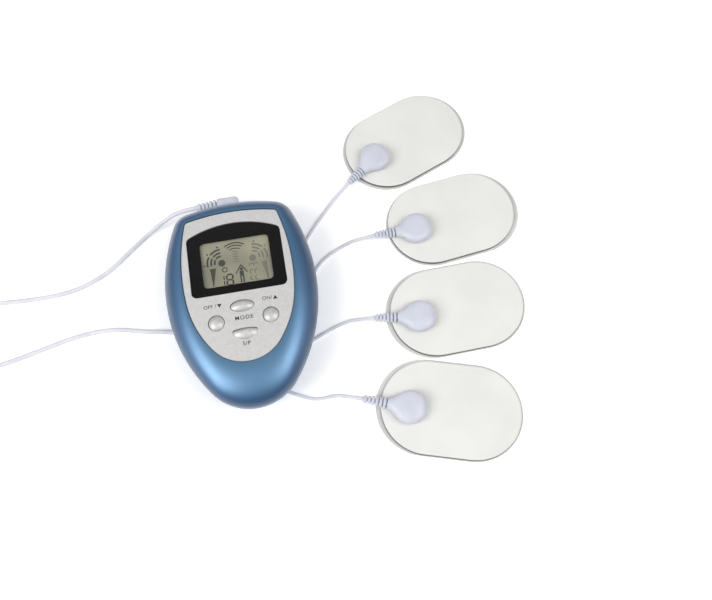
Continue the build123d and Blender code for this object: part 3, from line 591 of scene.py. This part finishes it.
def between(t, start, end, leaving, arriving):
    """Smooth curve from start to end for t from 0 to 1, with a slope given at each end."""
    square, cube = t ** 2, t ** 3
    return ((2 * cube - 3 * square + 1) * start + (cube - 2 * square + t) * leaving
            + (3 * square - 2 * cube) * end + (cube - square) * arriving)


def connector_section(u):
    """Half width, low and high side and squareness of the connector at u from its stud."""
    if u <= NECK_FROM:
        half = math.sqrt(max(0.0, HEAD_R ** 2 - u ** 2))
    else:
        start = math.sqrt(HEAD_R ** 2 - NECK_FROM ** 2)
        span = NECK_END - NECK_FROM
        half = between((u - NECK_FROM) / span, start, NECK_HALF, -NECK_FROM / start * span, -0.1 * span)
    dome = (1 - min(1.0, abs(u) / HEAD_R) ** 3.4) ** (1 / 3.4) if u < 0 else 1.0
    to_tail = smoothstep((u - 2.0) / (NECK_END - 2.0))
    high = HEAD_LOW + (HEAD_TOP - HEAD_LOW) * dome
    high += (TAIL_Z + 2.5 - high) * to_tail
    low = HEAD_LOW + (TAIL_Z - 2.3 - HEAD_LOW) * to_tail
    return max(half, 0.35), low, max(high, low + 1.2), 2.9 - 0.9 * to_tail


def connector(number, pad):
    """Round snap connector with a waisted neck and a ribbed strain relief."""
    stud, tail = Vector(pad["stud"]), Vector(pad["tail"])
    along = (tail - stud).normalized().to_3d()
    length = (tail - stud).length
    rings = []
    stations = [-HEAD_R * math.cos(math.radians(a)) for a in range(4, 90, 6)]
    stations += [0.8 * k for k in range(1, 15)] + [NECK_END]
    for u in stations:
        half, low, high, power = connector_section(u)
        centre = stud.to_3d() + along * u
        rings.append(section(centre * MM, along, half * MM, low * MM, high * MM, power))
    relief = ribs(NECK_END + 0.1, length - 0.7, 6, (2.9, 2.1), (1.35, 1.15), 0.72)
    for u, radius in relief + [(length - 0.7, 1.35), (length, 1.2)]:
        rings.append(round_section(stud.to_3d() + along * u, along, TAIL_Z, radius))
    piece = loft(f"snap_connector_{number}", rings)
    smooth_by_angle(piece, 40)
    return finish_piece(piece, ROOT, MATERIALS["lead_plastic"], [f"connector_{number}"])


connectors = [connector(number, pad) for number, pad in enumerate(PADS, start=1)]

PLUG_AXIS = Vector((0, 59.9, 12.5))
PLUG_R = 3.3


def plug():
    """Right-angle plug: a blunt barrel, its ribbed strain relief and the neck into the socket."""
    along = Vector((-1, 0, 0))
    profile = [
        (-4.2, 1.4), (-4.05, 2.1), (-3.6, 2.7), (-2.9, 3.05), (-2.0, 3.25),
        (0, PLUG_R), (6.9, PLUG_R), (7.6, 3.15), (7.9, 2.6),
    ]
    profile += ribs(7.9, 18.6, 5, (3.0, 2.2), (1.6, 1.4), 0.8)
    profile += [(18.7, 1.6), (19.8, 1.4)]
    barrel = []
    for u, radius in profile:
        centre = Vector((PLUG_AXIS.x - u, PLUG_AXIS.y, 0))
        barrel.append(round_section(centre, along, PLUG_AXIS.z, radius, 2.3))
    neck = []
    for y, radius in ((58.0, 2.25), (53.6, 2.25), (53.2, 2.15), (52.3, 2.0)):
        neck.append(round_section(Vector((0, y, 0)), Vector((0, -1, 0)), PLUG_AXIS.z, radius))
    piece = join("plug_body", [loft("plug_body", barrel), loft("plug_neck", neck)])
    smooth_by_angle(piece, 40)
    return finish_piece(piece, ROOT, MATERIALS["lead_plastic"], ["plug_housing"])


plug_body = plug()


def splitter():
    """Flat moulding where the cord fans out into four leads, with three ribs across its middle."""
    middle = (SPLIT_START + SPLIT_END) / 2
    length = (SPLIT_END - SPLIT_START).length
    along = split_dir.to_3d()
    stations = [
        (-0.5, 1.9, 3.2), (-0.47, 2.6, 3.8), (-0.4, 3.2, 4.1), (-0.25, 4.0, 4.3), (-0.1, 4.6, 4.35),
        (0.1, 4.9, 4.35), (0.3, 5.0, 4.3), (0.44, 4.9, 4.1), (0.49, 4.6, 3.7), (0.5, 4.3, 3.3),
    ]
    rings = []
    for share, half, high in stations:
        centre = (middle.to_3d() + along * (share * length)) * MM
        rings.append(section(centre, along, half * MM, 0.05 * MM, high * MM, 3.0))
    parts = [loft("splitter_body", rings)]
    for share in (-0.14, 0.0, 0.14):
        rings = []
        for offset, rise in ((-0.55, 0.0), (-0.3, 0.22), (0.3, 0.22), (0.55, 0.0)):
            centre = (middle.to_3d() + along * (share * length + offset)) * MM
            rings.append(section(centre, along, (3.9 + rise) * MM, 1.2 * MM, (4.3 + rise) * MM, 3.0))
        parts.append(loft("splitter_rib", rings))
    piece = join("splitter_body", parts)
    smooth_by_angle(piece, 40)
    return finish_piece(piece, ROOT, MATERIALS["lead_plastic"], ["splitter"])


splitter_body = splitter()

fittings = [[head] for head in connectors]
fittings[0].append("snap_sockets")


# ---- pads -----------------------------------------------------------------------------------
PAD_L, PAD_W = 73.8, 49.4
FILM_L, FILM_W = 77.6, 51.4
# Moves the dark gel layer out at the lower edge, where it shows as painted shadow under the cover.
GEL_SHIFT = (-0.2, -0.5)
END_STEPS, SIDE_STEPS = 28, 8


def stadium(pad, length, width, inset, height, shift=(0.0, 0.0)):
    """A ring round a pad: straight sides and half-round ends, drawn in by inset."""
    radius = max(0.05, width / 2 - inset)
    straight = (length - width) / 2
    turn = math.radians(pad["turn"])
    ring = []
    for end, start in ((1, -90), (-1, 90)):
        for step in range(END_STEPS + 1):
            angle = math.radians(start + 180 * step / END_STEPS)
            ring.append((end * straight + radius * math.cos(angle), radius * math.sin(angle)))
        for step in range(1, SIDE_STEPS):
            ring.append((end * straight * (1 - 2 * step / SIDE_STEPS), end * radius))
    points = []
    for x, y in ring:
        px = pad["at"][0] + shift[0] + x * math.cos(turn) - y * math.sin(turn)
        py = pad["at"][1] + shift[1] + x * math.sin(turn) + y * math.cos(turn)
        lift = height(px, py) if callable(height) else height
        points.append(Vector(mm(px, py, lift)))
    return points


def pad_height(pad, base, sag):
    """Slow undulation of a soft sheet, pressed flat under its snap stud."""
    stud = Vector(pad["stud"])

    def height(x, y):
        wave = noise.noise(Vector((x * 0.045, y * 0.045, pad["turn"])))
        near = math.exp(-((Vector((x, y)) - stud).length / 9.0) ** 2)
        return base + sag * wave * (1 - near)

    return height


def cover(number, pad):
    """Fleece-faced cover with a rolled edge and a faint embossed line inside it."""
    layers = [
        (0.45, 1.2), (0.12, 1.22), (0.0, 1.42), (0.0, 1.72), (0.1, 1.98), (0.35, 2.13), (0.8, 2.19),
        (1.5, 2.2), (2.1, 2.17), (2.5, 2.17), (3.1, 2.22), (5.0, 2.27), (8.0, 2.3), (12.0, 2.32),
        (16.0, 2.33), (20.0, 2.33), (23.5, 2.33),
    ]
    rings = []
    for inset, base in layers:
        sag = 0.12 * smoothstep((inset - 0.8) / 6)
        rings.append(stadium(pad, PAD_L, PAD_W, inset, pad_height(pad, base, sag)))
    piece = loft(f"pad_{number}_fleece", rings)
    smooth_by_angle(piece, 60)
    finish_piece(piece, f"pad_{number}", MATERIALS["pad_cover"], [f"pad_{number}_cover"])


def gel(number, pad):
    """Dark carbon and gel layer between cover and film; its dark edge, shifted out at the lower side, also
    stands in as painted shadow in the gap under the cover.
    """
    layers = [
        (0.9, 0.2), (0.3, 0.22), (0.1, 0.5), (0.1, 0.9), (0.3, 1.18), (1.2, 1.2), (12, 1.2), (23.5, 1.2),
    ]
    rings = [stadium(pad, PAD_L, PAD_W, inset, height, GEL_SHIFT) for inset, height in layers]
    piece = loft(f"pad_{number}_gel_layer", rings)
    smooth_by_angle(piece, 50)
    finish_piece(piece, f"pad_{number}", MATERIALS["pad_gel"], [f"pad_{number}_gel"])


def liner(number, pad):
    """Release film, a little larger than the pad, its free edge curled up by a hair."""
    def edge(base, curl):
        def height(x, y):
            return base + curl * (0.5 + 0.5 * noise.noise(Vector((x * 0.06, y * 0.06, number * 3.7))))

        return height

    layers = [
        (3.0, 0.02, 0.0), (1.2, 0.02, 0.06), (0.4, 0.02, 0.2), (0.0, 0.05, 0.3), (0.0, 0.15, 0.3),
        (0.4, 0.18, 0.2), (1.2, 0.19, 0.06), (3.0, 0.2, 0.0), (12.0, 0.2, 0.0), (24.0, 0.2, 0.0),
    ]
    rings = []
    for inset, base, curl in layers:
        rings.append(stadium(pad, FILM_L, FILM_W, inset, edge(base, curl), pad["shift"]))
    piece = loft(f"pad_{number}_film", rings)
    smooth_by_angle(piece, 60)
    finish_piece(piece, f"pad_{number}", MATERIALS["pad_liner"], [f"pad_{number}_liner"])


for number, pad in enumerate(PADS, start=1):
    cover(number, pad)
    gel(number, pad)
    liner(number, pad)


# ---- casing: crowned front shell round the plate --------------------------------------------
CASING_TIP, CASING_ARCS = -59.2, [(27.2, 52.7), (91.0, 92.85), (105.0, 112.4), (11.0, 164.3)]
PLATE_TIP, PLATE_ARCS = -37.3, [(21.5, 52.7), (55.0, 82.5), (114.6, 105.2), (2.0, 167.4)]
PARTING_Z, TOP_Z = 18.0, 28.0
SHELL_WALL, PLATE_GAP = 1.8, 0.25
LEDGE_Z, LEDGE_UNDER, LEDGE_REACH = 26.8, 25.8, 1.5
CROWN_WIDTH = 23.0  # how far in from the rim the casing keeps rising where it has room


def outline_at(heading, tip, arcs, grow=0.0):
    """Point of a chain of tangent arcs where it runs in this direction, degrees from +X."""
    x, y, before = 0.0, tip, 0.0
    for radius, end in arcs + [(None, 180.0)]:
        if radius is None:  # the last arc, which meets the axis squarely
            radius = x / math.sin(math.radians(before))
        upto = math.radians(min(heading, end))
        start = math.radians(before)
        x += radius * (math.sin(upto) - math.sin(start))
        y += radius * (math.cos(start) - math.cos(upto))
        before = end
        if heading <= end:
            break
    direction = math.radians(heading)
    return Vector((x + grow * math.sin(direction), y - grow * math.cos(direction)))


def headings():
    """Directions down the right side of an outline, closer together where it turns sharply."""
    lower = [3.0 * k for k in range(35)]
    shoulder = [105 + 1.5 * k for k in range(1, 43)]
    top = [168 + 3.0 * k for k in range(1, 5)]
    return lower + shoulder + top


def both_sides(points):
    """Adds the mirrored left side to a right side that starts and ends on the axis."""
    return points + [Vector((-p.x, p.y, p.z)) for p in points[-2:0:-1]]


def crown(heading, share, wall=0.0):
    """Point of the casing's skin between the rim (0) and the plate's hole (1), or wall below it."""
    rim = outline_at(heading, CASING_TIP, CASING_ARCS)
    hole = outline_at(heading, PLATE_TIP, PLATE_ARCS, PLATE_GAP)
    room = (hole - rim).length
    share = max(share, 1.2 * wall / room)
    spot = rim + (hole - rim) * share
    width = min(CROWN_WIDTH, 0.97 * room)
    squareness = 1.7 + 0.3 * smoothstep((room - 10) / 10)  # flatter where the flank is narrow
    inward = min(1.0, share * room / width)
    rise = (1 - (1 - inward) ** squareness) ** (1 / squareness)
    z = PARTING_Z + (TOP_Z - PARTING_Z) * rise
    return Vector((spot.x, spot.y, min(z - wall, LEDGE_UNDER) if wall else z))


def level_ring(tip, arcs, grow, z):
    """A closed ring at one height, parallel to one of the two outlines."""
    spots = [outline_at(heading, tip, arcs, grow) for heading in headings()]
    return both_sides([Vector((spot.x, spot.y, z)) for spot in spots])


def casing_top():
    """Outer skin from rim to plate, the step that holds the plate, and the skin's underside."""
    rings = []
    for step in range(31):
        share = 0.985 * (step / 30) ** 1.6
        rings.append(both_sides([crown(heading, share) for heading in headings()]))
    lip = [(0.5, TOP_Z), (0.44, TOP_Z - 0.03), (0.06, TOP_Z - 0.32), (0.0, TOP_Z - 0.45), (0.0, LEDGE_Z)]
    for grow, z in lip:
        rings.append(level_ring(PLATE_TIP, PLATE_ARCS, PLATE_GAP + grow, z))
    for z in (LEDGE_Z, LEDGE_UNDER):
        rings.append(level_ring(PLATE_TIP, PLATE_ARCS, -LEDGE_REACH, z))
    for share in (0.95, 0.8, 0.6, 0.45, 0.3, 0.2, 0.12):
        rings.append(both_sides([crown(heading, share, SHELL_WALL) for heading in headings()]))
    rings.append(level_ring(CASING_TIP, CASING_ARCS, -SHELL_WALL, PARTING_Z))
    piece = loft("casing_top", [[point * MM for point in ring] for ring in rings], closed=True)
    smooth_by_angle(piece, 42)
    finish_piece(piece, ROOT, MATERIALS["pearl_blue"], ["front_shell"])


casing_top()


# ---- buttons --------------------------------------------------------------------------------
BUTTON_STEPS = 64
DOME_LOW, DOME_RISE = 27.3, 1.58


def ellipse_outline(half_x, half_y):
    """Points round an ellipse."""
    angles = (2 * math.pi * step / BUTTON_STEPS for step in range(BUTTON_STEPS))
    return [(half_x * math.cos(a), half_y * math.sin(a)) for a in angles]


def boat_outline(half, deck, arch, belly):
    """A nearly flat upper edge over a full round belly, with rounded corners."""
    points = []
    for step in range(BUTTON_STEPS):
        angle = 2 * math.pi * step / BUTTON_STEPS
        x = half * math.cos(angle)
        share = math.sin(angle)
        if share >= 0:
            top = deck + (arch - deck) * (1 - (x / half) ** 2)
            y = top * min(1.0, (share * 1.6) ** 0.55)
        else:
            y = -belly * abs(share) ** 0.9
        points.append((x, y))
    return points


def button(name, centre, outline):
    """Domed cap over the flange that keeps it in the casing."""
    half_x = max(x for x, _ in outline)
    half_y = max(abs(y) for _, y in outline)
    levels = [(1.2, 24.9), (1.2, 25.65), (0.0, 25.66), (0.0, 26.9), (-0.02, 27.15)]  # growth, height
    for share in (0.985, 0.96, 0.92, 0.87, 0.8, 0.72, 0.63, 0.53, 0.42, 0.3, 0.17, 0.05):
        levels.append((share * half_y - half_y, DOME_LOW + DOME_RISE * (1 - share ** 2.5)))
    rings = []
    for grow, z in levels:
        tall = 1 + grow / half_y
        wide = tall if z > DOME_LOW else 1 + grow / half_x
        rings.append([Vector(mm(centre[0] + x * wide, centre[1] + y * tall, z)) for x, y in outline])
    piece = loft(f"{name}_cap", rings)
    smooth_by_angle(piece, 50)
    finish_piece(piece, name, MATERIALS["silver_button"], [name])


button("button_off_down", (-14, -15), ellipse_outline(4.0, 4.0))
button("button_on_up", (14, -15), ellipse_outline(4.0, 4.0))
button("button_mode", (0, -7.7), ellipse_outline(6.0, 3.0))
button("button_pause", (0, -22), boat_outline(6.45, 1.2, 2.0, 3.6))


# ---- printed labels and the display's picture -----------------------------------------------
def flat_piece(name, shapes, z, thick=0.02):
    """Thin printed shapes, each an outline in millimetres, as one mesh."""
    verts, faces = [], []
    for shape in shapes:
        base, count = len(verts), len(shape)
        verts += [mm(x, y, z) for x, y in shape] + [mm(x, y, z + thick) for x, y in shape]
        faces.append(tuple(base + i for i in reversed(range(count))))
        faces.append(tuple(base + count + i for i in range(count)))
        for i in range(count):
            j = (i + 1) % count
            faces.append((base + i, base + j, base + count + j, base + count + i))
    return make_mesh(name, verts, faces, smooth=False)


def polar(centre, radius, angle):
    """Point at a distance and direction from a centre."""
    return centre[0] + radius * math.cos(angle), centre[1] + radius * math.sin(angle)


def arc_band(centre, radius, half, start, end, steps=14):
    """A curved stroke: outline of a ring sector."""
    angles = [math.radians(start + (end - start) * k / steps) for k in range(steps + 1)]
    outer = [polar(centre, radius + half, angle) for angle in angles]
    inner = [polar(centre, radius - half, angle) for angle in angles]
    return outer + inner[::-1]


def disc(centre, radius, steps=20):
    """A filled round spot."""
    return [polar(centre, radius, 2 * math.pi * k / steps) for k in range(steps)]


def stroke(start, end, wide, taper=1.0):
    """A straight bar from start to end, narrower at its end by taper."""
    ax, ay = end[0] - start[0], end[1] - start[1]
    size = math.hypot(ax, ay)
    nx, ny = -ay / size * wide / 2, ax / size * wide / 2
    return [
        (start[0] + nx, start[1] + ny), (start[0] - nx, start[1] - ny),
        (end[0] - nx * taper, end[1] - ny * taper), (end[0] + nx * taper, end[1] + ny * taper),
    ]


def text_piece(name, body, centre, size, bold, spacing, z):
    """Lettering in Blender's own plain font, as a thin mesh."""
    data = bpy.data.curves.new(name, "FONT")
    data.body = body
    data.size = size * MM
    data.align_x = "CENTER"
    data.align_y = "CENTER"
    data.offset = bold * MM
    data.extrude = 0.01 * MM
    data.space_character = spacing
    data.resolution_u = 4
    text = bpy.data.objects.new(name, data)
    bpy.context.scene.collection.objects.link(text)
    bpy.context.view_layer.update()
    mesh = bpy.data.meshes.new_from_object(text.evaluated_get(bpy.context.evaluated_depsgraph_get()))
    bpy.data.objects.remove(text)
    mesh.transform(Matrix.Translation(mm(*centre, z)))
    piece = bpy.data.objects.new(name, mesh)
    bpy.context.scene.collection.objects.link(piece)
    return piece


LABEL_Z = 27.815
labels = [
    text_piece("label_off", "OFF /", (-16.4, -5.9), 2.7, 0.02, 1.05, LABEL_Z),
    text_piece("label_on", "ON/", (13.2, -5.9), 2.7, 0.02, 1.05, LABEL_Z),
    text_piece("label_mode", "MODE", (0.3, -14.3), 3.0, 0.03, 1.2, LABEL_Z),
    text_piece("label_pause", "S/P", (0, -28.1), 2.9, 0.04, 1.12, LABEL_Z),
    flat_piece("label_down", [[(-12.6, -4.9), (-10.2, -4.9), (-11.4, -7.0)]], LABEL_Z - 0.01),
    flat_piece("label_up", [[(16.2, -7.0), (18.6, -7.0), (17.4, -4.9)]], LABEL_Z - 0.01),
]
finish_piece(join("panel_labels", labels), ROOT, LABEL_INK)

LCD_ART_Z = 25.61


def fan(centre, start, end):
    """Wave symbol: three broken arcs round a blob, with a few dots outside."""
    shapes = [disc((centre[0], centre[1] - 0.4), 1.9)]
    gap = 5
    middle = (start + end) / 2
    for radius in (3.7, 5.6, 7.6):
        shapes.append(arc_band(centre, radius, 0.5, start, middle - gap))
        shapes.append(arc_band(centre, radius, 0.5, middle + gap, end))
    for angle in (start + 8, middle, end - 8):
        shapes.append(disc(polar(centre, 9.2, math.radians(angle)), 0.55, 10))
    return shapes


def digit(centre, segments, width=3.1, height=6.0, wide=0.95):
    """Seven-segment figure: a, g and d lie from the top down, f and e stand left, b and c right."""
    x, y = centre
    left, right, low, high = x - width / 2, x + width / 2, y - height / 2, y + height / 2
    lines = {
        "a": ((left + 0.3, high), (right - 0.3, high)), "g": ((left + 0.3, y), (right - 0.3, y)),
        "d": ((left + 0.3, low), (right - 0.3, low)), "f": ((left, high - 0.3), (left, y + 0.3)),
        "e": ((left, y - 0.3), (left, low + 0.3)), "b": ((right, high - 0.3), (right, y + 0.3)),
        "c": ((right, y - 0.3), (right, low + 0.3)),
    }
    return [stroke(*lines[s], wide) for s in segments]


def funnel():
    """Wide arcs at the top of the picture, over the faint bars."""
    shapes = []
    for level, (radius, spread) in enumerate(((9.5, 34), (8.0, 30), (6.3, 26))):
        shapes.append(arc_band((-0.3, 19.4), radius, 0.36 - 0.03 * level, 90 - spread, 90 + spread))
    return shapes


dark = fan((-7.8, 18.7), 92, 192) + funnel() + digit((-4.6, 8.3), "abcdefg")
one = [stroke((-7.6, 11.0), (-7.6, 8.6), 0.7), stroke((-7.6, 8.0), (-7.6, 5.6), 0.7)]
wedge = [stroke((-12.8, 15.9), (-13.4, 5.8), 3.2, 0.12)]
roof = [stroke((1.9, 15.8), (4.9, 11.2), 0.6), stroke((1.9, 15.8), (-1.1, 11.2), 0.6)]
person = [
    disc((1.9, 13.4), 0.85), stroke((1.9, 12.4), (1.9, 9.4), 2.1),
    stroke((1.2, 9.4), (1.2, 5.7), 0.75), stroke((2.6, 9.4), (2.6, 5.7), 0.75),
]
dark += one + wedge + roof + person + [arc_band((-6.7, 14.3), 1.25, 0.3, 0, 350)]
faint = fan((8.6, 19.0), -12, 88)
faint += [stroke((-1.7, 17.9), (1.2, 17.9), 0.55)]
faint += [stroke((-1.6 + 0.05 * k, 23.9 - 1.5 * k), (1.1 - 0.05 * k, 23.9 - 1.5 * k), 0.6) for k in range(4)]
faint += [stroke((14.3, 15.9), (15.5, 5.6), 2.8, 0.2)]
for row, y in enumerate((14.6, 10.9, 7.3)):
    for shift in (-1.4, 1.0):
        faint.append(arc_band((8.8 + shift, y), 1.1, 0.34, 20 + 40 * row, 200 + 40 * row, 8))
finish_piece(flat_piece("lcd_figures", dark, LCD_ART_Z), ROOT, LCD_INK)
finish_piece(flat_piece("lcd_figures_faint", faint, LCD_ART_Z), ROOT, LCD_FAINT)


# ---- floor and light ------------------------------------------------------------------------
def floor():
    """A wide sheet of white paper just under the set."""
    data = bpy.data.meshes.new("floor")
    half, z = 12.0, -0.05 * MM
    corners = [(-half, -half, z), (half, -half, z), (half, half, z), (-half, half, z)]
    data.from_pydata(corners, [], [(0, 1, 2, 3)])
    piece = bpy.data.objects.new("floor", data)
    bpy.context.scene.collection.objects.link(piece)
    material, tree, shader = new_material("paper_white", 0.9)
    mottle(tree, shader, (0.96, 0.96, 0.96), (0.97, 0.97, 0.97), 3.0)
    shader.inputs["Emission Color"].default_value = (1, 1, 1, 1)
    shader.inputs["Emission Strength"].default_value = 0.2
    data.materials.append(material)


def area_light(name, place, target, size, power):
    """A rectangular soft light, aimed at target."""
    data = bpy.data.lights.new(name, "AREA")
    data.shape = "RECTANGLE"
    data.size, data.size_y = size
    data.energy = power
    lamp = bpy.data.objects.new(name, data)
    lamp.location = place
    lamp.rotation_euler = (Vector(target) - Vector(place)).to_track_quat("-Z", "Y").to_euler()
    bpy.context.scene.collection.objects.link(lamp)


def sky_ramp(tree, along, stops):
    """Grey levels over one coordinate of the direction, which runs from -1 to 1."""
    span = tree.nodes.new("ShaderNodeMapRange")
    span.inputs["From Min"].default_value = -1.0
    tree.links.new(along, span.inputs["Value"])
    ramp = tree.nodes.new("ShaderNodeValToRGB")
    set_stops(ramp, [((position + 1) / 2, (level, level, level)) for position, level in stops])
    tree.links.new(span.outputs["Result"], ramp.inputs["Fac"])
    return ramp.outputs["Color"]


def studio_world():
    """Soft surroundings, brightest half way up to the left and right of the set."""
    sides = [(-1.0, 0.25), (-0.5, 0.35), (-0.3, 0.9), (0.0, 1.0), (0.2, 0.3), (1.0, 0.38)]
    heights = [(0.0, 0.3), (0.35, 0.7), (0.6, 1.05), (0.84, 1.0), (0.93, 0.5), (1.0, 0.4)]
    world = bpy.data.worlds.new("studio")
    world.use_nodes = True
    tree = world.node_tree
    place = tree.nodes.new("ShaderNodeTexCoord")
    split = tree.nodes.new("ShaderNodeSeparateXYZ")
    tree.links.new(place.outputs["Generated"], split.inputs["Vector"])
    both = tree.nodes.new("ShaderNodeVectorMath")
    both.operation = "MULTIPLY"
    tree.links.new(sky_ramp(tree, split.outputs["Z"], heights), both.inputs[0])
    tree.links.new(sky_ramp(tree, split.outputs["Y"], sides), both.inputs[1])
    background = tree.nodes["Background"]
    tree.links.new(both.outputs["Vector"], background.inputs["Color"])
    background.inputs["Strength"].default_value = 1.45
    bpy.context.scene.world = world


floor()
area_light("left", (-0.53, -0.20, 0.56), (0.0, -0.01, 0.0), (0.42, 0.5), 3.1)
area_light("right", (0.42, -0.18, 0.61), (0.02, -0.01, 0.0), (0.36, 0.45), 1.7)
studio_world()
bpy.context.scene.view_settings.view_transform = "Standard"
